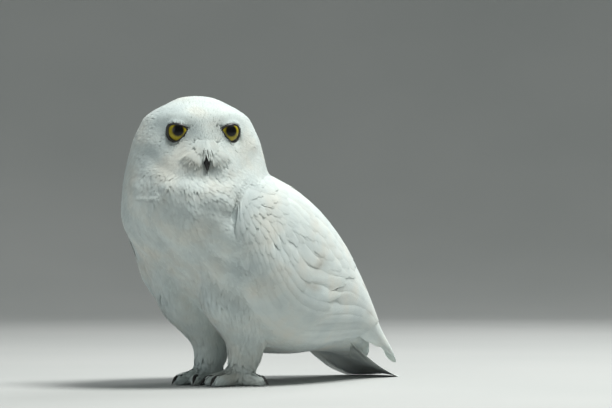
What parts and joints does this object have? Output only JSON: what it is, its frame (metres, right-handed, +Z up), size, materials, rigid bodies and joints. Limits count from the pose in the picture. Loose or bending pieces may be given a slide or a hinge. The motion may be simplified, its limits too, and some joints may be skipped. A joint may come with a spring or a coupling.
{
  "type": "snowy owl display model",
  "caption": "White owl at rest on its feathered feet, wings folded over a tail that touches the floor, head turned to its left with yellow eyes and a dark hooked bill.",
  "frame": {"origin": "middle of the bounding box in plan, on the floor that the feet and the tail's tip rest on", "axes": "+X towards the owl's left, -Y the way its breast faces, +Z up"},
  "size_m": [0.2092, 0.431, 0.33],
  "materials": {
    "plumage": "soft matt white feathers",
    "horn": "polished black horn",
    "iris": "wet glossy yellow iris round a black pupil"
  },
  "bodies": {
    "root": {"head": "plumage", "neck": "plumage", "trunk": "plumage", "tail": "plumage", "wing_left": "plumage", "wing_right": "plumage", "leg_left": "plumage", "leg_right": "plumage", "foot_left": "plumage", "foot_right": "plumage", "bill_upper": "horn", "bill_lower": "horn", "eye_left": "iris", "eye_right": "iris", "claw_left_inner": "horn", "claw_left_middle": "horn", "claw_left_outer": "horn", "claw_left_hind": "horn", "claw_right_inner": "horn", "claw_right_middle": "horn", "claw_right_outer": "horn", "claw_right_hind": "horn"}
  },
  "joints": []
}
